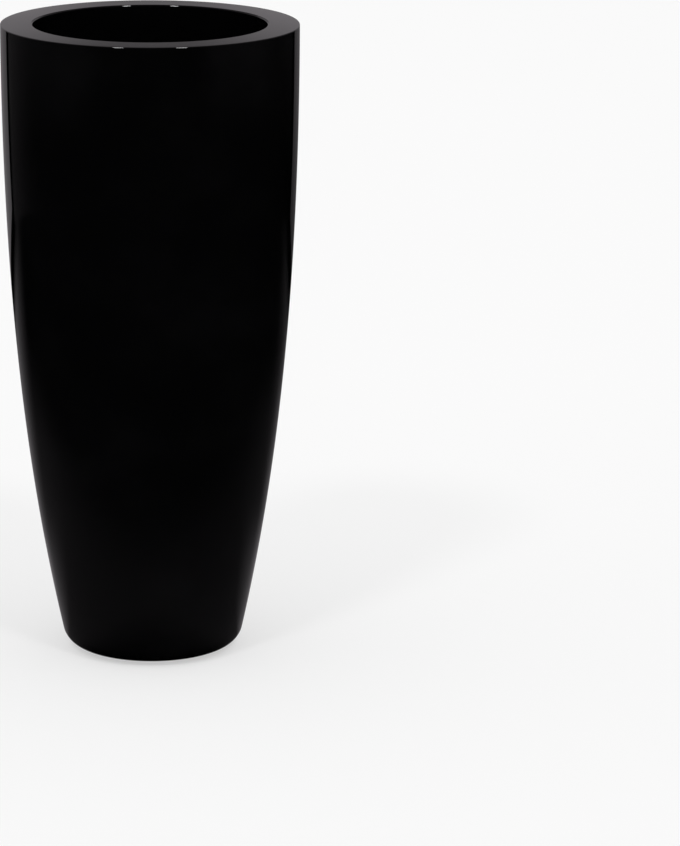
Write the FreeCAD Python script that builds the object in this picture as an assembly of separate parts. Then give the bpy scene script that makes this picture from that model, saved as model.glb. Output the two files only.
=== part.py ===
"""Tall round planter: laminate shell, rim collar bonded into its mouth, drained floor, drain plug and feet.

Sizes are in millimetres. The origin is the centre of the base, at the level of the ground. +Z is up.
"""
import FreeCAD
import Part
import math
import os

# Shell: wall, base corner and base flange
HEIGHT = 800.0  # from the ground to the top of the rim
RIM_DIAMETER = 370.0  # outside of the wall at the rim
BASE_FLAT_DIAMETER = 180.0  # flat underside, up to where the base corner starts
BASE_CORNER_RADIUS = 25.0  # outside round between the underside and the wall
BASE_LEAN_DEG = 12.5  # wall from upright, just above the base corner; it is upright at the rim
SHELL_THICKNESS = 6.0
BASE_FLANGE_WIDTH = 30.0  # ring of the underside that carries the floor
RIM_OUTER_ROUND = 1.2  # outside edge of the rim

# Collar: flat rim, inner skirt and bonding lip
RIM_WIDTH = 40.0  # flat rim, from the outside of the wall to the mouth
COLLAR_THICKNESS = 6.0
SKIRT_DEPTH = 90.0  # from the rim's top to the skirt's lower edge
LIP_DEPTH = 45.0  # from the rim's top to the lip's lower edge
MOUTH_ROUND = 2.0  # inside edge of the rim
BOND_THICKNESS = 1.0  # paste between the lip and the shell

# Floor and its drain
FLOOR_THICKNESS = 8.0  # at its outer edge
FLOOR_FALL = 2.0  # how far the floor drops from its edge to the drain
FLOOR_EDGE_GAP = 2.0  # between the floor's edge and the start of the base corner
DRAIN_DIAMETER = 26.0
DRAIN_SEAT_MARGIN = 3.0  # flat seat round the plug's head

# Drain plug
PLUG_CLEARANCE = 0.3  # stem in the drain, on the radius
PLUG_TAPER = 1.0  # how far the stem narrows towards its lower end, on the radius
PLUG_PROUD = 4.0  # stem below the floor
PLUG_END_ROUND = 2.0
PLUG_HEAD_OVERLAP = 8.0  # head beyond the drain's edge
PLUG_HEAD_THICKNESS = 4.0
PLUG_HEAD_ROUND = 1.5
LOOP_WIDTH = 24.0
LOOP_HEIGHT = 22.0
LOOP_THICKNESS = 5.0
LOOP_HOLE_DIAMETER = 12.0
LOOP_EDGE_ROUND = 1.2

# Feet
PAD_COUNT = 4
PAD_DIAMETER = 22.0
PAD_HEIGHT = 3.0
PAD_EDGE_ROUND = 0.8
FIRST_PAD_DEG = 45.0  # direction of the first pad, from +X

# Sizes that follow
RIM_RADIUS = RIM_DIAMETER / 2
MOUTH_RADIUS = RIM_RADIUS - RIM_WIDTH
BASE_FLAT_RADIUS = BASE_FLAT_DIAMETER / 2
FLANGE_BORE_RADIUS = BASE_FLAT_RADIUS - BASE_FLANGE_WIDTH
DRAIN_RADIUS = DRAIN_DIAMETER / 2
LIP_RADIUS = RIM_RADIUS - SHELL_THICKNESS  # outside of the lip, in line with the inside of the wall
LAND_RADIUS = LIP_RADIUS + BOND_THICKNESS  # shell thinned by the paste, which a ledge carries
FLOOR_RADIUS = BASE_FLAT_RADIUS - FLOOR_EDGE_GAP
BASE_Z = PAD_HEIGHT
FLOOR_Z = BASE_Z + SHELL_THICKNESS
CORNER_Z = BASE_Z + BASE_CORNER_RADIUS  # centre of the base corner, above the edge of the flat
FLOOR_EDGE_Z = FLOOR_Z + FLOOR_THICKNESS
DRAIN_SEAT_Z = FLOOR_EDGE_Z - FLOOR_FALL
PLUG_HEAD_RADIUS = DRAIN_RADIUS + PLUG_HEAD_OVERLAP
INNER_CORNER_RADIUS = BASE_CORNER_RADIUS - SHELL_THICKNESS
CORNER_TURN_DEG = 90.0 - BASE_LEAN_DEG

HANDLE_SHARE = 1 / 3  # a wall curve's handles, as a share of its chord: an even bend


class Section:
    """Half section in the plane of radius and height, drawn edge by edge, then turned about the Z axis."""

    def __init__(self, radius, height):
        self.first = FreeCAD.Vector(radius, 0, height)
        self.last = self.first
        self.edges = []

    def add(self, curve, end):
        self.edges.append(curve.toShape())
        self.last = end
        return self

    def line(self, radius, height):
        end = FreeCAD.Vector(radius, 0, height)
        return self.add(Part.LineSegment(self.last, end), end)

    def arc(self, centre_radius, centre_height, turn_deg):
        """Round stretch about a centre; a positive turn goes from outwards to upwards."""
        centre = FreeCAD.Vector(centre_radius, 0, centre_height)
        spoke = self.last - centre
        upward_turn = FreeCAD.Rotation(FreeCAD.Vector(0, -1, 0), turn_deg / 2)
        middle_spoke = upward_turn.multVec(spoke)
        middle = centre + middle_spoke
        end = centre + upward_turn.multVec(middle_spoke)
        return self.add(Part.Arc(self.last, middle, end), end)

    def wall(self, radius, height, start_lean_deg, end_lean_deg):
        """Wall curve up or down to a point, with its lean from upright at both ends."""
        end = FreeCAD.Vector(radius, 0, height)
        handle = HANDLE_SHARE * (end - self.last).Length
        if height < self.last.z:
            handle = -handle
        curve = Part.BezierCurve()
        curve.setPoles([
            self.last,
            self.last + along_wall(start_lean_deg) * handle,
            end - along_wall(end_lean_deg) * handle,
            end,
        ])
        return self.add(curve, end)

    def turned(self):
        if (self.last - self.first).Length > 0:
            self.line(self.first.x, self.first.z)
        face = Part.Face(Part.Wire(self.edges))
        return face.revolve(FreeCAD.Vector(0, 0, 0), FreeCAD.Vector(0, 0, 1), 360)


def along_wall(lean_deg):
    """Unit step up a wall that leans outwards by an angle."""
    lean = math.radians(lean_deg)
    return FreeCAD.Vector(math.sin(lean), 0, math.cos(lean))


def corner_point(radius):
    """Where the wall leaves the base corner, on a round of this radius."""
    lean = math.radians(BASE_LEAN_DEG)
    return BASE_FLAT_RADIUS + radius * math.cos(lean), CORNER_Z - radius * math.sin(lean)


def outer_shell():
    inner_foot_radius, inner_foot_z = corner_point(INNER_CORNER_RADIUS)
    section = Section(FLANGE_BORE_RADIUS, BASE_Z)
    section.line(BASE_FLAT_RADIUS, BASE_Z)
    section.arc(BASE_FLAT_RADIUS, CORNER_Z, CORNER_TURN_DEG)
    section.wall(RIM_RADIUS, HEIGHT - RIM_OUTER_ROUND, BASE_LEAN_DEG, 0)
    section.arc(RIM_RADIUS - RIM_OUTER_ROUND, HEIGHT - RIM_OUTER_ROUND, 90)
    section.line(LIP_RADIUS, HEIGHT)
    section.wall(inner_foot_radius, inner_foot_z, 0, BASE_LEAN_DEG)
    section.arc(BASE_FLAT_RADIUS, CORNER_Z, -CORNER_TURN_DEG)
    section.line(FLANGE_BORE_RADIUS, FLOOR_Z)
    rebate_foot = FreeCAD.Vector(0, 0, HEIGHT - LIP_DEPTH)
    rebate = Part.makeCylinder(LAND_RADIUS, LIP_DEPTH, rebate_foot)
    return section.turned().cut(rebate)


def rim_collar():
    """Channel-shaped ring: the lip goes down inside the shell, the skirt goes down round the mouth."""
    rim_underside = HEIGHT - COLLAR_THICKNESS
    skirt_outside = MOUTH_RADIUS + COLLAR_THICKNESS
    skirt_edge_round = COLLAR_THICKNESS / 2
    skirt_edge_z = HEIGHT - SKIRT_DEPTH + skirt_edge_round
    section = Section(LAND_RADIUS, HEIGHT)
    section.line(LAND_RADIUS, rim_underside)
    section.line(LIP_RADIUS, rim_underside)
    section.line(LIP_RADIUS, HEIGHT - LIP_DEPTH)
    section.line(LIP_RADIUS - COLLAR_THICKNESS, HEIGHT - LIP_DEPTH)
    section.line(LIP_RADIUS - COLLAR_THICKNESS, rim_underside)
    section.line(skirt_outside, rim_underside)
    section.line(skirt_outside, skirt_edge_z)
    section.arc(MOUTH_RADIUS + skirt_edge_round, skirt_edge_z, -90)
    section.arc(MOUTH_RADIUS + skirt_edge_round, skirt_edge_z, -90)
    section.line(MOUTH_RADIUS, HEIGHT - MOUTH_ROUND)
    section.arc(MOUTH_RADIUS + MOUTH_ROUND, HEIGHT - MOUTH_ROUND, -90)
    return section.turned()


def rim_bond():
    section = Section(LIP_RADIUS, HEIGHT - LIP_DEPTH)
    section.line(LAND_RADIUS, HEIGHT - LIP_DEPTH)
    section.line(LAND_RADIUS, HEIGHT - COLLAR_THICKNESS)
    section.line(LIP_RADIUS, HEIGHT - COLLAR_THICKNESS)
    return section.turned()


def floor_disc():
    """Floor on the base flange, with a flat seat round the drain for the plug's head."""
    seat_radius = PLUG_HEAD_RADIUS + DRAIN_SEAT_MARGIN
    section = Section(DRAIN_RADIUS, FLOOR_Z)
    section.line(FLOOR_RADIUS, FLOOR_Z)
    section.line(FLOOR_RADIUS, FLOOR_EDGE_Z)
    section.line(seat_radius, DRAIN_SEAT_Z)
    section.line(DRAIN_RADIUS, DRAIN_SEAT_Z)
    return section.turned()


def floor_bond():
    """Bead between the floor's edge and the inside of the base corner, level with the floor's edge."""
    bead_turn_deg = 90.0 - math.degrees(math.asin((CORNER_Z - FLOOR_EDGE_Z) / INNER_CORNER_RADIUS))
    section = Section(FLOOR_RADIUS, FLOOR_Z)
    section.line(BASE_FLAT_RADIUS, FLOOR_Z)
    section.arc(BASE_FLAT_RADIUS, CORNER_Z, bead_turn_deg)
    section.line(FLOOR_RADIUS, FLOOR_EDGE_Z)
    return section.turned()


def pull_loop(foot_z):
    """Upright loop with a round top and a finger hole, standing on the plug's head."""
    half_width = LOOP_WIDTH / 2
    crown_z = foot_z + LOOP_HEIGHT
    hole_z = crown_z - half_width
    front = -LOOP_THICKNESS / 2
    left_foot = FreeCAD.Vector(-half_width, front, foot_z)
    right_foot = FreeCAD.Vector(half_width, front, foot_z)
    left_shoulder = FreeCAD.Vector(-half_width, front, hole_z)
    right_shoulder = FreeCAD.Vector(half_width, front, hole_z)
    crown = FreeCAD.Vector(0, front, crown_z)
    outline = Part.Wire([
        Part.LineSegment(left_foot, right_foot).toShape(),
        Part.LineSegment(right_foot, right_shoulder).toShape(),
        Part.Arc(right_shoulder, crown, left_shoulder).toShape(),
        Part.LineSegment(left_shoulder, left_foot).toShape(),
    ])
    across = FreeCAD.Vector(0, 1, 0)
    loop = Part.Face(outline).extrude(across * LOOP_THICKNESS)
    hole_start = FreeCAD.Vector(0, front, hole_z)
    hole = Part.makeCylinder(LOOP_HOLE_DIAMETER / 2, LOOP_THICKNESS, hole_start, across)
    loop = loop.cut(hole)
    rounded_edges = [edge for edge in loop.Edges if edge.BoundBox.YLength < LOOP_THICKNESS / 2
                     and edge.BoundBox.ZMax > foot_z + LOOP_EDGE_ROUND]
    return loop.makeFillet(LOOP_EDGE_ROUND, rounded_edges)


def drain_plug():
    stem_radius = DRAIN_RADIUS - PLUG_CLEARANCE
    end_radius = stem_radius - PLUG_TAPER
    end_z = FLOOR_Z - PLUG_PROUD
    head_top = DRAIN_SEAT_Z + PLUG_HEAD_THICKNESS
    section = Section(0, end_z)
    section.line(end_radius - PLUG_END_ROUND, end_z)
    section.arc(end_radius - PLUG_END_ROUND, end_z + PLUG_END_ROUND, 90)
    section.line(stem_radius, DRAIN_SEAT_Z)
    section.line(PLUG_HEAD_RADIUS, DRAIN_SEAT_Z)
    section.line(PLUG_HEAD_RADIUS, head_top - PLUG_HEAD_ROUND)
    section.arc(PLUG_HEAD_RADIUS - PLUG_HEAD_ROUND, head_top - PLUG_HEAD_ROUND, 90)
    section.line(0, head_top)
    root_z = head_top - PLUG_HEAD_ROUND
    return section.turned().fuse(pull_loop(root_z)).removeSplitter()


def foot_pad(number):
    """Round pad, set in the middle of the base flange."""
    pad_radius = PAD_DIAMETER / 2
    section = Section(0, 0)
    section.line(pad_radius - PAD_EDGE_ROUND, 0)
    section.arc(pad_radius - PAD_EDGE_ROUND, PAD_EDGE_ROUND, 90)
    section.line(pad_radius, PAD_HEIGHT)
    section.line(0, PAD_HEIGHT)
    pad = section.turned()
    pad_circle = BASE_FLAT_RADIUS - BASE_FLANGE_WIDTH / 2
    direction = math.radians(FIRST_PAD_DEG + (number - 1) * 360.0 / PAD_COUNT)
    pad.translate(FreeCAD.Vector(pad_circle * math.cos(direction), pad_circle * math.sin(direction), 0))
    return pad


def main():
    nodes = {
        "outer_shell": outer_shell(),
        "rim_collar": rim_collar(),
        "rim_bond": rim_bond(),
        "floor_disc": floor_disc(),
        "floor_bond": floor_bond(),
        "drain_plug": drain_plug(),
    }
    for number in range(1, PAD_COUNT + 1):
        nodes[f"foot_pad_{number}"] = foot_pad(number)

    os.makedirs("parts", exist_ok=True)
    for name, shape in nodes.items():
        shape.exportStep(f"parts/{name}.step")
        print(f"{name}: {len(shape.Solids)} solid, {shape.Volume / 1000:.2f} cm3, valid {shape.isValid()}")


main()
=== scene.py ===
"""Looks of a tall round planter: gloss lacquer outside, bare laminate inside, on a plain pale stage.

Lengths are in metres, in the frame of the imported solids: the origin is the centre of the base and +Z is up.
"""

import math

import bmesh
import bpy
from bpy.props import FloatProperty, FloatVectorProperty, IntProperty, PointerProperty
from mathutils import Matrix, Vector
from mathutils.geometry import interpolate_bezier


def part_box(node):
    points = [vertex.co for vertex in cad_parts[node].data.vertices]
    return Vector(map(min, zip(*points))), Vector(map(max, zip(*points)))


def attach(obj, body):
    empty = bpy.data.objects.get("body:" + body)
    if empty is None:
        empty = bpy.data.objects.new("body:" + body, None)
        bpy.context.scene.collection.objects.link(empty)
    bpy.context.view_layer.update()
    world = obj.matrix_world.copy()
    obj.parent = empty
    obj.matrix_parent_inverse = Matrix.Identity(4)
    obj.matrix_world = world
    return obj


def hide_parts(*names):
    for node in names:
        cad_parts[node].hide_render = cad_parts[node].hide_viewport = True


bl_info = {
    "name": "Tall Round Planter",
    "version": (1, 0, 0),
    "blender": (4, 5, 0),
    "location": "3D View > Sidebar > Planter",
    "description": "Dresses a tall round planter and sets it on a plain stage",
    "category": "Add Mesh",
}

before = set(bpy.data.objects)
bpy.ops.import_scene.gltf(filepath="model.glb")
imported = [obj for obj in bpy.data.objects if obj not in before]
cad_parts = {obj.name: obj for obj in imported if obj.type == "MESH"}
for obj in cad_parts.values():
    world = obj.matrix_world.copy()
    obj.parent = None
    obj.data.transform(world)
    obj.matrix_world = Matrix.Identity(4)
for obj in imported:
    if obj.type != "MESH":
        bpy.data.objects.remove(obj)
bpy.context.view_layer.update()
SHELL_LOW, SHELL_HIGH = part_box("outer_shell")
COLLAR_LOW, COLLAR_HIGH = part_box("rim_collar")
FLOOR_LOW, FLOOR_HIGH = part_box("floor_disc")
PLUG_LOW, PLUG_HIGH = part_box("drain_plug")
PAD_NODES = sorted(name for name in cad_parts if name.startswith("foot_pad_"))

MERGE_DISTANCE = 1e-6
RING_TOLERANCE = 1e-5
SHARP_ANGLE = math.radians(40)
HANDLE_SHARE = 1 / 3  # a smooth curve's handles, as a share of its chord
QUARTER = math.pi / 2
CARD_GAP = 0.0003  # between the feet, the dark painted floor reflection that the lacquer sees and the pale floor

# Faces along the curves of a section
CORNER_SEGMENTS = 24
WALL_SEGMENTS = 64
INSIDE_CORNER_SEGMENTS = 12
INSIDE_WALL_SEGMENTS = 48
BEAD_SEGMENTS = 10

# Faces round the smaller pieces and the stage; the wall's are among the sizes
PLUG_STEPS = 96
PAD_STEPS = 64
LOOP_SEGMENTS = 48
DISC_SEGMENTS = 128
SURROUND_STEPS = 48
ROOM_SUBDIVISIONS = 4

# Faces across a rounded edge
SHOWN_EDGE = 8
INNER_EDGE = 6
PAD_EDGE = 5
LOOP_EDGE = 4
TRIMMED_EDGE = 3

GROOVE_SHARES = (0.35, 0.65)  # places of the sealing grooves, up the plug's stem
GRIP_SHARES = (0.40, 0.68)  # places of the grip grooves, out along a pad's radius

STRAND_GRAIN = (0.030, 0.0016, 0.050)  # length, width and depth of the glass strands' pattern
STRAND_LAYERS = 7  # directions that the strands lie in
LAYER_SHIFT = 0.37  # keeps the layers' patterns apart
INSIDE_RADIUS = 0.15  # of the wall's inside a third of the way up, where its pattern is true to size
STREAK_TURN = 1.9  # radius, in streak lengths, of the circle that the paste is wiped round
STREAK_WIDTH = 0.0024
LACQUER_IOR = 1.5

# Numbers of a Mix node's colour sockets, which share their names with others
MIX_FIRST = 6
MIX_SECOND = 7
MIX_RESULT = 2


def length(name, description, default):
    return FloatProperty(name=name, description=description, default=default, unit="LENGTH", precision=5)


def angle(name, description, default):
    return FloatProperty(
        name=name, description=description, default=default, subtype="ANGLE", unit="ROTATION")


def colour(name, description, default):
    return FloatVectorProperty(
        name=name, description=description, default=default, subtype="COLOR", size=3, min=0.0, max=1.0)


class ShellSizes(bpy.types.PropertyGroup):
    """Wall, base corner and base flange"""
    rim_radius: length("Rim radius", "Outside of the wall at the rim", SHELL_HIGH.x)
    top: length("Top", "Height of the rim's top", SHELL_HIGH.z)
    underside: length("Underside", "Height of the base flange's underside", SHELL_LOW.z)
    base_flat_radius: length("Base flat", "Radius of the flat underside", 0.090)
    corner_radius: length("Base corner", "Outside round between underside and wall", 0.025)
    base_lean: angle("Base lean", "Wall from upright, just above the base corner", math.radians(12.5))
    thickness: length("Thickness", "Laminate thickness", 0.006)
    flange_width: length("Flange width", "Ring of the underside that carries the floor", 0.030)
    rim_round: length("Rim round", "Outside edge of the rim", 0.0012)
    trim_round: length("Trim round", "Sanded edges of the base flange", 0.0008)
    steps: IntProperty(name="Steps", description="Faces round the wall", default=192, min=24)


class CollarSizes(bpy.types.PropertyGroup):
    """Flat rim, inner skirt and bonding lip"""
    rim_width: length("Rim width", "From the outside of the wall to the mouth", 0.040)
    thickness: length("Thickness", "Laminate thickness", 0.006)
    skirt_depth: length("Skirt depth", "From the rim's top to the skirt's edge", COLLAR_HIGH.z - COLLAR_LOW.z)
    lip_depth: length("Lip depth", "From the rim's top to the lip's edge", 0.045)
    paste: length("Paste", "Bonding paste between lip and wall", 0.001)
    mouth_round: length("Mouth round", "Inside edge of the rim", 0.002)
    skirt_round: length("Skirt round", "Lower edge of the skirt", 0.0028)


class FloorSizes(bpy.types.PropertyGroup):
    """Floor, its drain and the bead round it"""
    radius: length("Radius", "Outside of the floor", FLOOR_HIGH.x)
    underside: length("Underside", "Height of the floor's underside", FLOOR_LOW.z)
    edge_height: length("Edge height", "Height of the floor's top at its edge", FLOOR_HIGH.z)
    fall: length("Fall", "Drop from the edge to the drain", 0.002)
    drain_radius: length("Drain radius", "Hole for the plug", 0.013)
    seat_radius: length("Seat radius", "Flat round the drain", 0.024)
    edge_round: length("Edge round", "Trimmed edge of the drain", 0.0008)
    bead_dip: length("Bead dip", "Hollow in the middle of the bead's top", 0.0012)


class PlugSizes(bpy.types.PropertyGroup):
    """Drain plug and its pull loop"""
    stem_radius: length("Stem radius", "Stem under the head", 0.0127)
    taper: length("Taper", "How far the stem narrows to its end", 0.001)
    end_round: length("End round", "Edge of the stem's end", 0.002)
    groove: length("Groove", "Depth of the sealing grooves round the stem", 0.0006)
    head_radius: length("Head radius", "Flange that seats on the floor", PLUG_HIGH.x)
    head_thickness: length("Head thickness", "Thickness of the head", 0.004)
    head_round: length("Head round", "Upper edge of the head", 0.0015)
    loop_width: length("Loop width", "Width of the pull loop", 0.024)
    loop_thickness: length("Loop thickness", "Thickness of the pull loop", 0.005)
    loop_hole_radius: length("Loop hole", "Radius of the finger hole", 0.006)
    loop_round: length("Loop round", "Edges of the pull loop", 0.0012)
    loop_root: length("Loop root", "How far the loop is sunk in the head", 0.0015)


class PadSizes(bpy.types.PropertyGroup):
    """Foot pads"""
    edge_round: length("Edge round", "Lower edge of a pad", 0.0008)
    groove_depth: length("Groove depth", "Grip grooves in a pad's underside", 0.0006)
    groove_width: length("Groove width", "Width of a grip groove", 0.0012)


class FinishColours(bpy.types.PropertyGroup):
    """Colours of the finishes"""
    lacquer: colour("Lacquer", "Gloss lacquer", (0.0009, 0.0009, 0.0010))
    lacquer_haze: colour("Lacquer haze", "Faint polishing haze in the lacquer", (0.0020, 0.0020, 0.0022))
    base_coat: colour("Base coat", "Matt coat on the underside", (0.011, 0.011, 0.011))
    overspray: colour("Overspray", "Dry overspray on the underside", (0.028, 0.028, 0.028))
    resin: colour("Resin", "Smoke-grey resin of the bare laminate", (0.105, 0.102, 0.096))
    strand: colour("Strand", "Glass strands under the resin", (0.300, 0.292, 0.270))
    paste: colour("Paste", "Bonding paste", (0.200, 0.198, 0.190))
    paste_smear: colour("Paste smear", "Tooled streaks in the paste", (0.300, 0.297, 0.285))
    bung: colour("Plug", "Rubber of the drain plug", (0.026, 0.026, 0.027))
    foot: colour("Pad", "Rubber of the foot pads", (0.032, 0.031, 0.030))
    dust: colour("Dust", "Dust on the rubber", (0.075, 0.073, 0.070))


class StageSettings(bpy.types.PropertyGroup):
    """Camera, floor, light and the dark studio that the lacquer reflects"""
    camera_distance: length("Camera distance", "From the planter's axis, level", 4.934)
    camera_height: length("Camera height", "Above the floor", 1.593)
    camera_pitch: angle("Camera pitch", "Downward tilt", 0.25826)
    camera_yaw: angle("Camera yaw", "Turn to the right", 0.04828)
    camera_roll: angle("Camera roll", "Turn about the line of sight", 0.0076)
    lens: FloatProperty(name="Lens", description="Focal length", default=171.22, unit="CAMERA")
    floor: colour("Floor", "Pale floor", (0.96, 0.96, 0.96))
    floor_radius: length("Floor radius", "Reach of the floor", 40.0)
    plain_share: FloatProperty(
        name="Plain share", description="How much of the floor is seen plain white, without its shading",
        default=0.5, min=0.0, max=1.0)
    ambient: FloatProperty(name="Ambient", description="Even light from all round", default=0.78, min=0.0)
    lamp: FloatProperty(name="Lamp", description="Strength of each front lamp", default=0.40, min=0.0)
    lamp_face: FloatProperty(
        name="Lamp face", description="Brightness of a front lamp in the lacquer", default=45.0, min=0.0)
    lamp_size: angle("Lamp size", "Angle across a front lamp, for the shadow's edge", math.radians(9))
    face_width: angle("Face width", "Angle across a front lamp's face in the lacquer", math.radians(5.5))
    face_height: angle("Face height", "Angle up a front lamp's face in the lacquer", math.radians(18))
    lamp_height: angle("Lamp height", "Front lamps above the floor", math.radians(50))
    lamp_left: angle("Lamp left", "Left front lamp from the camera's side", math.radians(29.3))
    lamp_right: angle("Lamp right", "Right front lamp from the camera's side", math.radians(28.5))
    lamp_distance: length("Lamp distance", "Front lamp's face from the planter", 6.0)
    backdrop_distance: length("Backdrop distance", "Grey backdrop behind the planter", 2.0)
    backdrop_left: length("Backdrop left", "Left edge of the backdrop from the axis", 1.60)
    backdrop_right: length("Backdrop right", "Right edge of the backdrop from the axis", 1.47)
    backdrop_height: length("Backdrop height", "Top of the backdrop", 1.8)
    surround_radius: length("Surround radius", "Round wall beside and in front of the planter", 2.4)
    surround_height: length("Surround height", "Top of the round wall", 0.9)
    surround_gap: angle("Surround gap", "Half of the opening that the backdrop closes", math.radians(44))
    room_radius: length("Room radius", "Dim room beyond the cards", 11.0)
    grey: colour("Studio grey", "Tint of all that the lacquer reflects", (1.0, 0.94, 0.985))


class Planter(bpy.types.PropertyGroup):
    """All sizes and colours of the planter"""
    shell: PointerProperty(type=ShellSizes)
    collar: PointerProperty(type=CollarSizes)
    floor: PointerProperty(type=FloorSizes)
    plug: PointerProperty(type=PlugSizes)
    pad: PointerProperty(type=PadSizes)
    colours: PointerProperty(type=FinishColours)
    stage: PointerProperty(type=StageSettings)


class Profile:
    """Half section of a turned piece, drawn from point to point in the plane of radius and height."""

    def __init__(self, radius, height):
        self.points = [Vector((radius, 0, height))]

    def line(self, *stops):
        """Straight stretches to each radius and height."""
        self.points += [Vector((radius, 0, height)) for radius, height in stops]
        return self

    def curve(self, radius, height, start_slope, end_slope, handle, segments):
        """Smooth stretch that leaves and arrives at two slopes, measured from outwards to upwards."""
        start = self.points[-1]
        end = Vector((radius, 0, height))
        leaving = Vector((math.cos(start_slope), 0, math.sin(start_slope)))
        arriving = Vector((math.cos(end_slope), 0, math.sin(end_slope)))
        knots = (start, start + handle * leaving, end - handle * arriving, end)
        self.points += interpolate_bezier(*knots, segments + 1)[1:]
        return self

    def wall(self, radius, height, start_slope, end_slope, segments):
        """Wall curve: an even bend over its whole length."""
        chord = Vector((radius, 0, height)) - self.points[-1]
        return self.curve(radius, height, start_slope, end_slope, HANDLE_SHARE * chord.length, segments)

    def round(self, size, start_slope, turn, segments):
        """Round stretch of a radius that turns through an angle, upwards where it is positive."""
        start = self.points[-1]
        end_slope = start_slope + turn
        side = math.copysign(size, turn)
        radius = start.x + side * (math.sin(end_slope) - math.sin(start_slope))
        height = start.z - side * (math.cos(end_slope) - math.cos(start_slope))
        handle = size * abs(4 / 3 * math.tan(turn / 4))  # makes the curve follow an arc
        return self.curve(radius, height, start_slope, end_slope, handle, segments)


def turn_profile(bm, profile, steps, finish=0):
    """Turns a profile once round the Z axis and adds it to a piece, with the number of its finish."""
    turned = bmesh.new()
    verts = [turned.verts.new(point) for point in profile.points]
    edges = [turned.edges.new(pair) for pair in zip(verts, verts[1:])]
    bmesh.ops.spin(
        turned, geom=verts + edges, cent=(0, 0, 0), axis=(0, 0, 1), angle=math.tau, steps=steps,
        use_merge=True)
    for face in turned.faces:
        face.material_index = finish
    mesh = bpy.data.meshes.new("turned")
    turned.to_mesh(mesh)
    turned.free()
    bm.from_mesh(mesh)
    bpy.data.meshes.remove(mesh)


def close_seams(bm):
    bmesh.ops.remove_doubles(bm, verts=bm.verts, dist=MERGE_DISTANCE)
    bmesh.ops.recalc_face_normals(bm, faces=bm.faces)


def round_edges(bm, edges, size, segments):
    if not edges:
        raise ValueError("no edges to round")
    bmesh.ops.bevel(
        bm, geom=edges, offset=size, offset_type="OFFSET", segments=segments, profile=0.5, affect="EDGES",
        material=-1)


def round_ring(bm, radius, height, size, segments):
    """Rounds the ring of edges at a radius and height of a turned piece."""

    def on_ring(vert):
        return (abs(vert.co.xy.length - radius) < RING_TOLERANCE
                and abs(vert.co.z - height) < RING_TOLERANCE)

    ring = [edge for edge in bm.edges if all(on_ring(vert) for vert in edge.verts)]
    round_edges(bm, ring, size, segments)


def make_piece(bm, name, *finishes):
    """Smooths and links a mesh as a new object with its finishes; flat faces stay flat beside round edges."""
    for face in bm.faces:
        face.smooth = True
    for edge in bm.edges:
        edge.smooth = edge.calc_face_angle(0.0) < SHARP_ANGLE
    mesh = bpy.data.meshes.new(name)
    bm.to_mesh(mesh)
    bm.free()
    for finish in finishes:
        mesh.materials.append(finish)
    piece = bpy.data.objects.new(name, mesh)
    bpy.context.scene.collection.objects.link(piece)
    shading = piece.modifiers.new("even_shading", "WEIGHTED_NORMAL")
    shading.keep_sharp = True
    return piece


class Wire:
    """A node's output. Arithmetic on it adds Math nodes."""

    def __init__(self, recipe, socket):
        self.recipe = recipe
        self.socket = socket

    def math(self, operation, first, second=0.0):
        return self.recipe.node("ShaderNodeMath", {"operation": operation}, {0: first, 1: second})

    def __add__(self, other):
        return self.math("ADD", self, other)

    def __radd__(self, other):
        return self.math("ADD", other, self)

    def __sub__(self, other):
        return self.math("SUBTRACT", self, other)

    def __rsub__(self, other):
        return self.math("SUBTRACT", other, self)

    def __mul__(self, other):
        return self.math("MULTIPLY", self, other)

    def __rmul__(self, other):
        return self.math("MULTIPLY", other, self)

    def __truediv__(self, other):
        return self.math("DIVIDE", self, other)

    def __rtruediv__(self, other):
        return self.math("DIVIDE", other, self)

    def __pow__(self, other):
        return self.math("POWER", self, other)

    def __abs__(self):
        return self.math("ABSOLUTE", self)

    def at_most(self, other):
        return self.math("MINIMUM", self, other)

    def at_least(self, other):
        return self.math("MAXIMUM", self, other)

    def ramp(self, low, high):
        """0 below low, 1 above high and a smooth step between them."""
        return self.recipe.node(
            "ShaderNodeMapRange", {"interpolation_type": "SMOOTHSTEP"},
            {"Value": self, "From Min": low, "From Max": high, "To Min": 0.0, "To Max": 1.0})


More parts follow.
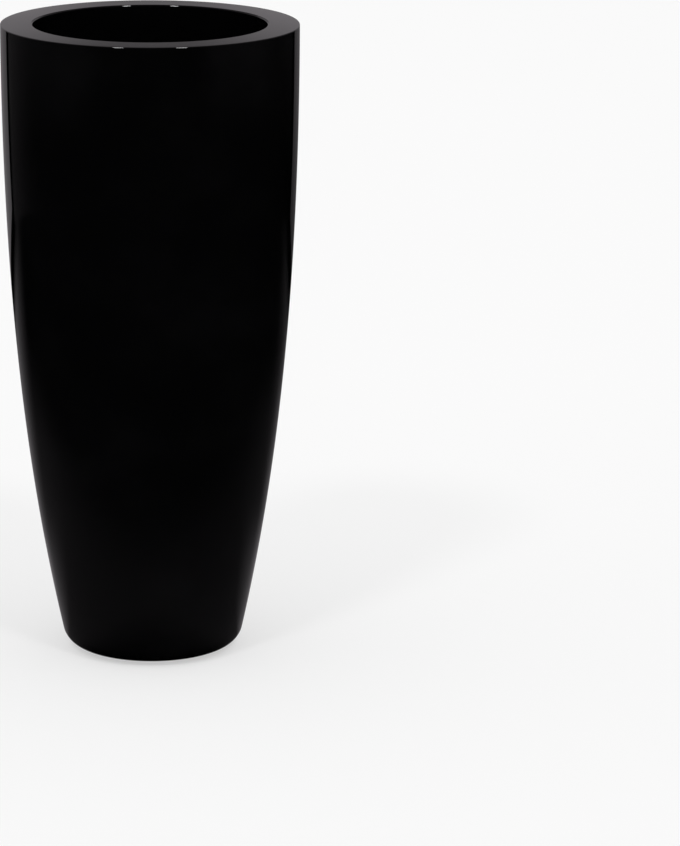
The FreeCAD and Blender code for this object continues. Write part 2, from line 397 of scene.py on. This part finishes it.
class Recipe:
    """Node tree of one finish."""

    def __init__(self, block, output):
        self.block = block
        block.use_nodes = True
        self.tree = block.node_tree
        self.tree.nodes.clear()
        self.output = self.tree.nodes.new(output)

    def node(self, kind, settings=None, inputs=None, output=0):
        """Adds a node with its settings, then the values or links of its sockets, and gives one output."""
        node = self.tree.nodes.new(kind)
        for name, value in (settings or {}).items():
            setattr(node, name, value)
        for key, value in (inputs or {}).items():
            if isinstance(value, Wire):
                self.tree.links.new(value.socket, node.inputs[key])
            else:
                node.inputs[key].default_value = value
        return Wire(self, node.outputs[output])

    def place(self):
        return self.node("ShaderNodeTexCoord", output="Object")

    def parts(self, vector):
        """The three numbers of a vector."""
        return [self.node("ShaderNodeSeparateXYZ", {}, {"Vector": vector}, output=axis) for axis in "XYZ"]

    def grained(self, place, grain, turn=0.0, shift=0.0):
        """Place counted in grains of a length, width and depth, which lie at an angle."""
        return self.node(
            "ShaderNodeMapping", {"vector_type": "TEXTURE"},
            {"Vector": place, "Scale": grain, "Rotation": (0, 0, turn), "Location": (shift, 0, 0)})

    def noise(self, place, scale, detail=2.0, roughness=0.5):
        return self.node(
            "ShaderNodeTexNoise", {},
            {"Vector": place, "Scale": scale, "Detail": detail, "Roughness": roughness})

    def mix(self, factor, first, second):
        """Colour between two colours."""
        return self.node(
            "ShaderNodeMix", {"data_type": "RGBA"},
            {"Factor": factor, MIX_FIRST: (*first, 1.0), MIX_SECOND: (*second, 1.0)}, output=MIX_RESULT)

    def seen(self):
        """1 where the camera, a reflection or a see-through surface looks, 0 where light is gathered."""
        looks = [self.node("ShaderNodeLightPath", output=f"Is {kind} Ray")
                 for kind in ("Camera", "Glossy", "Transmission")]
        return (looks[0] + looks[1] + looks[2]).at_most(1.0)

    def solid(self, height, **inputs):
        """Solid surface with a relief in metres."""
        sockets = {name.replace("_", " "): value for name, value in inputs.items()}
        sockets["Normal"] = self.node(
            "ShaderNodeBump", {}, {"Strength": 1.0, "Distance": 1.0, "Height": height})
        return self.node("ShaderNodeBsdfPrincipled", {}, sockets)

    def surface(self, height, **inputs):
        return self.finish(self.solid(height, **inputs))

    def finish(self, shader):
        self.tree.links.new(shader.socket, self.output.inputs["Surface"])
        return self.block


def material_recipe(name):
    return Recipe(bpy.data.materials.new(name), "ShaderNodeOutputMaterial")


def black_gloss(name, colours):
    """Sprayed and polished black: a trace of orange peel, slow ripples of the laminate, a faint haze."""
    peel_depth = 3e-6
    ripple_depth = 4e-5
    polished_roughness = 0.018
    haze_roughness = 0.035
    recipe = material_recipe(name)
    place = recipe.place()
    peel = recipe.noise(place, scale=230.0, detail=1.0)
    ripple = recipe.noise(place, scale=11.0, detail=0.0)
    haze = recipe.noise(place, scale=7.0, detail=5.0, roughness=0.62).ramp(0.42, 0.78)
    return recipe.surface(
        peel * peel_depth + ripple * ripple_depth,
        Base_Color=recipe.mix(haze, colours.lacquer, colours.lacquer_haze),
        Roughness=haze * haze_roughness + polished_roughness,
        IOR=LACQUER_IOR)


def matt_underside(name, colours):
    """Matt coat on the underside, with dry overspray."""
    grain_depth = 5e-5
    grain_share = 0.6
    coat_roughness = 0.5
    dry_roughness = 0.25
    recipe = material_recipe(name)
    place = recipe.place()
    grain = recipe.noise(place, scale=900.0, detail=3.0, roughness=0.7)
    cloud = recipe.noise(place, scale=18.0, detail=4.0, roughness=0.6)
    dry = (grain * grain_share + cloud * (1 - grain_share)).ramp(0.46, 0.62)
    return recipe.surface(
        grain * grain_depth,
        Base_Color=recipe.mix(dry, colours.base_coat, colours.overspray),
        Roughness=dry * dry_roughness + coat_roughness)


def unrolled(recipe):
    """Distance round the inside wall, height and radius: the wall's surface as a flat pattern."""
    x, y, z = recipe.parts(recipe.place())
    round_wall = x.math("ARCTAN2", y, x) * INSIDE_RADIUS
    return recipe.node("ShaderNodeCombineXYZ", {}, {"X": round_wall, "Y": z, "Z": (x * x + y * y) ** 0.5})


def strand_mat(recipe, place, colours):
    """Chopped glass strands in dark resin: glossy where the resin lies thick, strands showing elsewhere."""
    strand_depth = 1.6e-4
    pool_depth = 1.2e-4
    bare_strand = 0.8  # how far a strand shows where the resin is thin
    sunk_strand = 0.5  # what it loses where the resin lies thick
    thin_roughness = 0.58
    pool_gloss = 0.30
    strands = 0.0
    for layer in range(STRAND_LAYERS):
        turn = math.pi * layer / STRAND_LAYERS
        lie = recipe.grained(place, STRAND_GRAIN, turn, layer * LAYER_SHIFT)
        strands = recipe.noise(lie, scale=1.0, detail=1.0).ramp(0.58, 0.68).at_least(strands)
    pool = recipe.noise(place, scale=26.0, detail=4.0, roughness=0.6).ramp(0.40, 0.66)
    shown = strands * (bare_strand - pool * sunk_strand)
    return recipe.surface(
        strands * strand_depth + pool * pool_depth,
        Base_Color=recipe.mix(shown, colours.resin, colours.strand),
        Roughness=thin_roughness - pool * pool_gloss)


def rolled_wall(name, colours):
    """Strand mat rolled against the inside of the wall."""
    recipe = material_recipe(name)
    return strand_mat(recipe, unrolled(recipe), colours)


def laid_floor(name, colours):
    """Strand mat laid flat."""
    recipe = material_recipe(name)
    return strand_mat(recipe, recipe.place(), colours)


def wiped_paste(name, colours):
    """Cured grey paste, wiped round along the joint."""
    streak_depth = 2.5e-4
    pit_depth = 1.5e-4
    wiped_roughness = 0.5
    pit_roughness = 0.3
    recipe = material_recipe(name)
    place = recipe.place()
    x, y, z = recipe.parts(place)
    reach = (x * x + y * y) ** 0.5
    turn = STREAK_TURN / reach
    swept = recipe.node(
        "ShaderNodeCombineXYZ", {}, {"X": x * turn, "Y": y * turn, "Z": (reach + z) / STREAK_WIDTH})
    streak = recipe.noise(swept, scale=1.0, detail=3.0, roughness=0.6)
    pit = recipe.noise(place, scale=380.0, detail=2.0).ramp(0.60, 0.72)
    return recipe.surface(
        streak * streak_depth - pit * pit_depth,
        Base_Color=recipe.mix(streak.ramp(0.35, 0.70), colours.paste, colours.paste_smear),
        Roughness=wiped_roughness + pit * pit_roughness)


def dusty_rubber(name, tone, colours):
    """Moulded rubber with a fine grain and a little dust."""
    grain_depth = 2.5e-5
    thickest_dust = 0.55
    clean_roughness = 0.52
    dust_roughness = 0.3
    recipe = material_recipe(name)
    place = recipe.place()
    grain = recipe.noise(place, scale=1400.0, detail=2.0, roughness=0.6)
    dust = recipe.noise(place, scale=160.0, detail=5.0, roughness=0.7).ramp(0.56, 0.80)
    return recipe.surface(
        grain * grain_depth,
        Base_Color=recipe.mix(dust * thickest_dust, tone, colours.dust),
        Roughness=clean_roughness + dust * dust_roughness)


def bung_rubber(name, colours):
    return dusty_rubber(name, colours.bung, colours)


def foot_rubber(name, colours):
    return dusty_rubber(name, colours.foot, colours)


def finish_of(make, colours):
    """The finish that a function makes, made when it is first asked for."""
    return bpy.data.materials.get(make.__name__) or make(make.__name__, colours)


def plain_floor(settings):
    """Pale matt floor. A share of it is seen as plain white, which keeps the shadow on it light."""
    cloud_depth = 1e-4
    cloud_shade = 0.99
    recipe = material_recipe("plain_floor")
    cloud = recipe.noise(recipe.place(), scale=1.5, detail=2.0)
    shade = [cloud_shade * part for part in settings.floor]
    matt = recipe.solid(
        cloud * cloud_depth, Base_Color=recipe.mix(cloud, shade, settings.floor), Roughness=0.9,
        Specular_IOR_Level=0.1)
    white = recipe.node("ShaderNodeEmission", {}, {"Color": (1, 1, 1, 1)})
    return recipe.finish(recipe.node(
        "ShaderNodeMixShader", {}, {0: recipe.seen() * settings.plain_share, 1: matt, 2: white}))


def glow(name, grey, light):
    """Card with a light that is one number, or a pattern that a function builds from the card's place."""
    recipe = material_recipe(name)
    if callable(light):
        tone = recipe.mix(light(*recipe.parts(recipe.place())), (0, 0, 0), grey)
        strength = 1.0
    else:
        tone = (*grey, 1.0)
        strength = light
    return recipe.finish(recipe.node("ShaderNodeEmission", {}, {"Color": tone, "Strength": strength}))


# Light of the studio's cards: 1 is white, and a ramp runs between two places in metres or two shares.
def backdrop_light(x, y, z):
    """Pools of light above the rim, dimmer in the middle; below it a sheet that is brighter on the left."""
    pool_light = 0.36
    middle_light = 0.29
    middle_rise = 0.62  # towards the pools
    fade_start = 1.06
    fade_per_metre = 1.55
    sheet_light = 0.22
    sheet_loss = 0.17  # towards the right and the floor
    off_middle = abs(x)
    fade = (z.at_least(fade_start) - fade_start) * fade_per_metre
    middle = (1 + off_middle.ramp(0.05, 0.25) * middle_rise) * (middle_light - fade)
    pools = middle + (pool_light - middle) * off_middle.ramp(0.22, 0.34)
    sheet = sheet_light - x.ramp(-0.4, 0.4) * (1 - z) * sheet_loss
    above = z.ramp(0.72, 1.0)
    return pools * above + sheet * (1 - above)


def surround_light(x, y, z):
    """Faint band at both sides, none in front; at the back darker on the right and lighter on the left."""
    band_light = 0.024
    right_loss = 0.015
    left_loss = 0.012
    left_light = 0.034  # down to the floor, unlike the band
    beside = y.ramp(-2.1, -1.3) * z.ramp(0.15, 0.42)
    back_right = x.ramp(-0.5, 1.0) * y.ramp(-0.3, 0.8)
    back_left = (1 - x.ramp(-1.0, 0.5)) * y.ramp(0.0, 1.7)
    return beside * (band_light - back_right * right_loss - back_left * left_loss) + back_left * left_light


def floor_light(x, y, z):
    """Painted light and shade of the floor in the lacquer: lit beside the planter and more behind it, most on
    the left; dark in front, with a painted shadow of the base right under it.
    """
    beside_light = 0.055
    beside_right_loss = 0.35
    behind_light = 0.17
    behind_right_loss = 0.7
    close_light = 0.12
    wall_side = 0.11  # wall's radius near the floor
    reach = (x * x + y * y) ** 0.5
    beside = (1 - reach.ramp(0.5, 1.5)) * (1 - (reach - y).ramp(0.4, 1.1))
    beside *= 1 - x.ramp(-0.3, 0.6) * beside_right_loss
    behind = (y / reach).ramp(0.5, 1.0) * (1 - y.ramp(1.4, 1.75))
    behind *= 1 - x.ramp(0.0, 0.9) * behind_right_loss
    back = y.at_least(0.0)
    close = (back / (back + abs(x) - wall_side)).ramp(0.0, 0.65) * (1 - reach.ramp(0.25, 0.6))
    # painted shadow: the reflected floor goes dark right under the planter's base
    clear_of_base = (reach + y * 0.5).ramp(0.06, 0.12)
    return (beside * beside_light + close * close_light + behind * behind_light) * clear_of_base


def room_light(x, y, z):
    """Dim room, lighter towards the back."""
    front_light = 0.05
    back_rise = 0.13
    return front_light + y.ramp(-3.0, 6.0) * back_rise


class PLANTER_OT_shell(bpy.types.Operator):
    """Turn the shell: lacquered wall, matt underside, bare laminate inside"""
    bl_idname = "planter.shell"
    bl_label = "Shell"

    def execute(self, context):
        planter = context.scene.planter
        size = planter.shell
        collar = planter.collar
        flat = size.base_flat_radius
        bore = flat - size.flange_width
        land = size.rim_radius - size.thickness + collar.paste
        ledge = size.top - collar.lip_depth
        wall_slope = QUARTER - size.base_lean
        corner_height = size.underside + size.corner_radius
        inner_corner = size.corner_radius - size.thickness
        inner_foot_radius = flat + inner_corner * math.sin(wall_slope)
        inner_foot_height = corner_height - inner_corner * math.cos(wall_slope)

        outside = Profile(flat, size.underside)
        outside.round(size.corner_radius, 0.0, wall_slope, CORNER_SEGMENTS)
        outside.wall(size.rim_radius, size.top, wall_slope, QUARTER, WALL_SEGMENTS)
        outside.line((land, size.top))

        inside = Profile(land, size.top)
        inside.line((land, ledge), (size.rim_radius - size.thickness, ledge))
        down_wall = wall_slope - math.pi
        inside.wall(inner_foot_radius, inner_foot_height, -QUARTER, down_wall, INSIDE_WALL_SEGMENTS)
        inside.round(inner_corner, down_wall, -wall_slope, INSIDE_CORNER_SEGMENTS)
        inside.line((bore, size.underside + size.thickness), (bore, size.underside))

        underside = Profile(bore, size.underside).line((flat, size.underside))

        bm = bmesh.new()
        for finish, profile in enumerate((outside, inside, underside)):
            turn_profile(bm, profile, size.steps, finish)
        close_seams(bm)
        round_ring(bm, size.rim_radius, size.top, size.rim_round, SHOWN_EDGE)
        round_ring(bm, bore, size.underside, size.trim_round, TRIMMED_EDGE)
        round_ring(bm, bore, size.underside + size.thickness, size.trim_round, TRIMMED_EDGE)
        finishes = [finish_of(make, planter.colours) for make in (black_gloss, rolled_wall, matt_underside)]
        piece = make_piece(bm, "lacquered_shell", *finishes)
        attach(piece, "pot")
        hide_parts("outer_shell")
        return {"FINISHED"}


class PLANTER_OT_rim(bpy.types.Operator):
    """Turn the collar: lacquered rim and skirt, bare laminate where it is bonded"""
    bl_idname = "planter.rim"
    bl_label = "Rim"

    def execute(self, context):
        planter = context.scene.planter
        shell = planter.shell
        size = planter.collar
        top = shell.top
        under = top - size.thickness
        lip_edge = top - size.lip_depth
        skirt_edge = top - size.skirt_depth
        mouth = shell.rim_radius - size.rim_width
        behind_skirt = mouth + size.thickness
        lip = shell.rim_radius - shell.thickness
        behind_lip = lip - size.thickness
        land = lip + size.paste

        shown = Profile(land, top)
        shown.line((mouth, top), (mouth, skirt_edge), (behind_skirt, skirt_edge))

        hidden = Profile(behind_skirt, skirt_edge)
        hidden.line((behind_skirt, under), (behind_lip, under), (behind_lip, lip_edge), (lip, lip_edge))
        hidden.line((lip, under), (land, under), (land, top))

        bm = bmesh.new()
        for finish, profile in enumerate((shown, hidden)):
            turn_profile(bm, profile, shell.steps, finish)
        close_seams(bm)
        round_ring(bm, mouth, top, size.mouth_round, SHOWN_EDGE)
        round_ring(bm, mouth, skirt_edge, size.skirt_round, INNER_EDGE)
        round_ring(bm, behind_skirt, skirt_edge, size.skirt_round, INNER_EDGE)
        finishes = [finish_of(make, planter.colours) for make in (black_gloss, rolled_wall)]
        piece = make_piece(bm, "lacquered_rim", *finishes)
        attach(piece, "pot")
        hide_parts("rim_collar")
        return {"FINISHED"}


class PLANTER_OT_floor(bpy.types.Operator):
    """Turn the laminate floor and the bead round it, and dress the paste under the rim"""
    bl_idname = "planter.floor"
    bl_label = "Floor"

    def execute(self, context):
        planter = context.scene.planter
        shell = planter.shell
        size = planter.floor
        seat = size.edge_height - size.fall

        floor = Profile(size.drain_radius, seat)
        floor.line((size.seat_radius, seat), (size.radius, size.edge_height), (size.radius, size.underside))
        floor.line((size.drain_radius, size.underside), (size.drain_radius, seat))
        bm = bmesh.new()
        turn_profile(bm, floor, shell.steps)
        close_seams(bm)
        round_ring(bm, size.drain_radius, seat, size.edge_round, TRIMMED_EDGE)
        piece = make_piece(bm, "laminate_floor", finish_of(laid_floor, planter.colours))
        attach(piece, "pot")
        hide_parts("floor_disc")

        inner_corner = shell.corner_radius - shell.thickness
        corner_height = shell.underside + shell.corner_radius
        bead_turn = math.acos((corner_height - size.edge_height) / inner_corner)
        bead = Profile(size.radius, size.underside)
        bead.line((shell.base_flat_radius, size.underside))
        bead.round(inner_corner, 0.0, bead_turn, BEAD_SEGMENTS)
        top_width = bead.points[-1].x - size.radius
        dip_slope = math.atan(4 * size.bead_dip / top_width)  # dips a quarter of slope times width
        bead.curve(
            size.radius, size.edge_height, math.pi + dip_slope, math.pi - dip_slope,
            HANDLE_SHARE * top_width, BEAD_SEGMENTS)
        bead.line((size.radius, size.underside))
        bm = bmesh.new()
        turn_profile(bm, bead, shell.steps)
        close_seams(bm)
        paste = finish_of(wiped_paste, planter.colours)
        piece = make_piece(bm, "floor_bead", paste)
        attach(piece, "pot")
        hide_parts("floor_bond")

        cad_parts["rim_bond"].material_slots[0].material = paste
        return {"FINISHED"}


class PLANTER_OT_plug(bpy.types.Operator):
    """Turn the drain plug and set its pull loop on top"""
    bl_idname = "planter.plug"
    bl_label = "Drain plug"

    def execute(self, context):
        planter = context.scene.planter
        size = planter.plug
        end = PLUG_LOW.z
        seat = planter.floor.edge_height - planter.floor.fall
        head_top = seat + size.head_thickness
        end_radius = size.stem_radius - size.taper

        body = Profile(0, end).line((end_radius, end))
        for share in GROOVE_SHARES:
            height = end + share * (seat - end)
            radius = end_radius + share * size.taper
            body.line((radius, height - size.groove), (radius - size.groove, height))
            body.line((radius, height + size.groove))
        body.line((size.stem_radius, seat), (size.head_radius, seat))
        body.line((size.head_radius, head_top), (0, head_top))
        bm = bmesh.new()
        turn_profile(bm, body, PLUG_STEPS)
        close_seams(bm)
        round_ring(bm, end_radius, end, size.end_round, INNER_EDGE)
        round_ring(bm, size.head_radius, head_top, size.head_round, INNER_EDGE)
        add_pull_loop(bm, size, PLUG_HIGH.z, head_top - size.loop_root)
        piece = make_piece(bm, "drain_bung", finish_of(bung_rubber, planter.colours))
        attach(piece, "plug")
        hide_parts("drain_plug")
        return {"FINISHED"}


def add_pull_loop(bm, size, crown, root):
    """Upright loop: a ring round the finger hole whose lower half is drawn down into the plug's head."""
    half_width = size.loop_width / 2
    centre = crown - half_width
    upright = Matrix.Translation((0, -size.loop_thickness / 2, centre)) @ Matrix.Rotation(QUARTER, 4, "X")
    hole = bmesh.ops.create_circle(bm, segments=LOOP_SEGMENTS, radius=size.loop_hole_radius, matrix=upright)
    hole_edges = {edge for vert in hole["verts"] for edge in vert.link_edges}
    ring = bmesh.ops.extrude_edge_only(bm, edges=list(hole_edges))["geom"]
    outline = [item for item in ring if isinstance(item, bmesh.types.BMVert)]
    spread = half_width / size.loop_hole_radius
    bmesh.ops.scale(
        bm, verts=outline, vec=(spread, 1, spread), space=Matrix.Translation((0, 0, -centre)))
    for vert in outline:
        if vert.co.z < centre - RING_TOLERANCE:
            vert.co.z = root
    sheet = [item for item in ring if isinstance(item, bmesh.types.BMFace)]
    front_edges = {edge for face in sheet for edge in face.edges if len(edge.link_faces) == 1}
    grown = bmesh.ops.extrude_face_region(bm, geom=sheet)["geom"]
    back = [item for item in grown if isinstance(item, bmesh.types.BMVert)]
    bmesh.ops.translate(bm, verts=back, vec=(0, size.loop_thickness, 0))
    back_faces = {item for item in grown if isinstance(item, bmesh.types.BMFace)}
    back_edges = {
        edge for face in back_faces for edge in face.edges
        if any(other not in back_faces for other in edge.link_faces)}
    bmesh.ops.recalc_face_normals(bm, faces=bm.faces)
    round_edges(bm, list(front_edges | back_edges), size.loop_round, LOOP_EDGE)


class PLANTER_OT_pads(bpy.types.Operator):
    """Turn the foot pads and set them under the base flange"""
    bl_idname = "planter.pads"
    bl_label = "Foot pads"

    def execute(self, context):
        planter = context.scene.planter
        size = planter.pad
        for number, node in enumerate(PAD_NODES, start=1):
            low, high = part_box(node)
            radius = (high.x - low.x) / 2
            pad = Profile(0, low.z)
            groove_top = low.z + size.groove_depth
            for share in GRIP_SHARES:
                inner = share * radius
                outer = inner + size.groove_width
                pad.line((inner, low.z), (inner, groove_top), (outer, groove_top), (outer, low.z))
            pad.line((radius, low.z), (radius, high.z), (0, high.z))
            bm = bmesh.new()
            turn_profile(bm, pad, PAD_STEPS)
            close_seams(bm)
            round_ring(bm, radius, low.z, size.edge_round, PAD_EDGE)
            centre = (low + high) / 2
            bmesh.ops.translate(bm, verts=bm.verts, vec=(centre.x, centre.y, 0))
            piece = make_piece(bm, f"foot_{number}", finish_of(foot_rubber, planter.colours))
            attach(piece, "pot")
            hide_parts(node)
        return {"FINISHED"}


def add_disc(name, finish, radius, place):
    bm = bmesh.new()
    bmesh.ops.create_circle(bm, cap_ends=True, segments=DISC_SEGMENTS, radius=radius, matrix=place)
    return make_piece(bm, name, finish)


def add_upright(name, finish, foot, height):
    """Flat card that stands on a line between two floor points."""
    bm = bmesh.new()
    verts = [bm.verts.new((*point, 0.0)) for point in foot]
    grown = bmesh.ops.extrude_edge_only(bm, edges=[bm.edges.new(verts)])["geom"]
    tops = [item for item in grown if isinstance(item, bmesh.types.BMVert)]
    bmesh.ops.translate(bm, verts=tops, vec=(0, 0, height))
    return make_piece(bm, name, finish)


def add_round_wall(name, finish, radius, height, gap):
    """Wall round the planter, open towards the back by the gap on both sides."""
    bm = bmesh.new()
    verts = [bm.verts.new((radius * math.sin(gap), radius * math.cos(gap), level)) for level in (0.0, height)]
    edge = bm.edges.new(verts)
    bmesh.ops.spin(
        bm, geom=[*verts, edge], cent=(0, 0, 0), axis=(0, 0, -1), angle=math.tau - 2 * gap,
        steps=SURROUND_STEPS)
    return make_piece(bm, name, finish)


def show_in_lacquer_only(card):
    """Stage card that only reflections see: it neither lights nor shades the planter and the floor."""
    card.visible_camera = False
    card.visible_diffuse = False
    card.visible_transmission = False
    card.visible_volume_scatter = False
    card.visible_shadow = False


class PLANTER_OT_stage(bpy.types.Operator):
    """Set the camera, the pale floor, the soft light and the dark studio that the lacquer reflects"""
    bl_idname = "planter.stage"
    bl_label = "Stage"

    def execute(self, context):
        settings = context.scene.planter.stage
        self.set_camera(context, settings)
        self.set_light(context, settings)
        self.set_studio(settings)
        floor_place = Matrix.Translation((0, 0, -2 * CARD_GAP))
        add_disc("floor", plain_floor(settings), settings.floor_radius, floor_place)
        context.scene.view_settings.view_transform = "Standard"
        return {"FINISHED"}

    def set_camera(self, context, settings):
        yaw = settings.camera_yaw
        pitch = settings.camera_pitch
        forward = Vector((
            math.sin(yaw) * math.cos(pitch), math.cos(yaw) * math.cos(pitch), -math.sin(pitch)))
        right = Vector((math.cos(yaw), -math.sin(yaw), 0))
        turned = Matrix((right, right.cross(forward), -forward)).transposed().to_4x4()
        camera = bpy.data.objects.new("camera", bpy.data.cameras.new("camera"))
        camera.data.lens = settings.lens
        camera.matrix_world = (
            Matrix.Translation((0, -settings.camera_distance, settings.camera_height))
            @ turned @ Matrix.Rotation(settings.camera_roll, 4, "Z"))
        context.scene.collection.objects.link(camera)
        context.scene.camera = camera

    def set_light(self, context, settings):
        away = settings.lamp_distance
        spans = (settings.face_width, settings.face_height)
        tall = Matrix.Diagonal((*(away * math.tan(span / 2) for span in spans), 1, 1))
        face = glow("lamp_face", (1, 1, 1), settings.lamp_face)
        level = math.cos(settings.lamp_height)
        rise = math.sin(settings.lamp_height)
        for turn in (-settings.lamp_left, settings.lamp_right):
            towards = Vector((math.sin(turn) * level, -math.cos(turn) * level, rise))
            turned = towards.to_track_quat("Z", "Y").to_matrix().to_4x4()
            lamp = bpy.data.lights.new("front_lamp", "SUN")
            lamp.energy = settings.lamp
            lamp.angle = settings.lamp_size
            holder = bpy.data.objects.new("front_lamp", lamp)
            holder.matrix_world = turned
            holder.visible_glossy = False
            context.scene.collection.objects.link(holder)
            show_in_lacquer_only(add_disc(
                "lamp_face", face, 1.0, Matrix.Translation(away * towards) @ turned @ tall))

        world = Recipe(bpy.data.worlds.new("studio"), "ShaderNodeOutputWorld")
        white = (1, 1, 1, 1)
        ambient = world.node("ShaderNodeBackground", {}, {"Color": white, "Strength": settings.ambient})
        plain = world.node("ShaderNodeBackground", {}, {"Color": white})
        context.scene.world = world.finish(world.node(
            "ShaderNodeMixShader", {}, {0: world.seen(), 1: ambient, 2: plain}))

    def set_studio(self, settings):
        grey = settings.grey
        back = settings.backdrop_distance
        corners = ((-settings.backdrop_left, back), (settings.backdrop_right, back))
        floor_place = Matrix.Translation((0, 0, -CARD_GAP))
        room = bmesh.new()
        bmesh.ops.create_icosphere(room, subdivisions=ROOM_SUBDIVISIONS, radius=settings.room_radius)
        cards = (
            add_upright(
                "backdrop", glow("backdrop", grey, backdrop_light), corners, settings.backdrop_height),
            add_round_wall(
                "surround", glow("surround", grey, surround_light), settings.surround_radius,
                settings.surround_height, settings.surround_gap),
            add_disc("painted_floor_reflection", glow("painted_floor_reflection", grey, floor_light), settings.room_radius, floor_place),
            make_piece(room, "dim_room", glow("dim_room", grey, room_light)),
        )
        for card in cards:
            show_in_lacquer_only(card)


class PLANTER_PT_panel(bpy.types.Panel):
    """Planter tools"""
    bl_label = "Planter"
    bl_idname = "PLANTER_PT_panel"
    bl_space_type = "VIEW_3D"
    bl_region_type = "UI"
    bl_category = "Planter"

    def draw(self, context):
        for operator in OPERATORS:
            self.layout.operator(operator.bl_idname)


GROUPS = (ShellSizes, CollarSizes, FloorSizes, PlugSizes, PadSizes, FinishColours, StageSettings, Planter)
OPERATORS = (
    PLANTER_OT_shell, PLANTER_OT_rim, PLANTER_OT_floor, PLANTER_OT_plug, PLANTER_OT_pads, PLANTER_OT_stage)
CLASSES = (*GROUPS, *OPERATORS, PLANTER_PT_panel)


def register():
    for cls in CLASSES:
        bpy.utils.register_class(cls)
    bpy.types.Scene.planter = PointerProperty(type=Planter)


def unregister():
    del bpy.types.Scene.planter
    for cls in reversed(CLASSES):
        bpy.utils.unregister_class(cls)


def main():
    register()
    bpy.ops.planter.shell()
    bpy.ops.planter.rim()
    bpy.ops.planter.floor()
    bpy.ops.planter.plug()
    bpy.ops.planter.pads()
    bpy.ops.planter.stage()


if __name__ == "__main__":
    main()
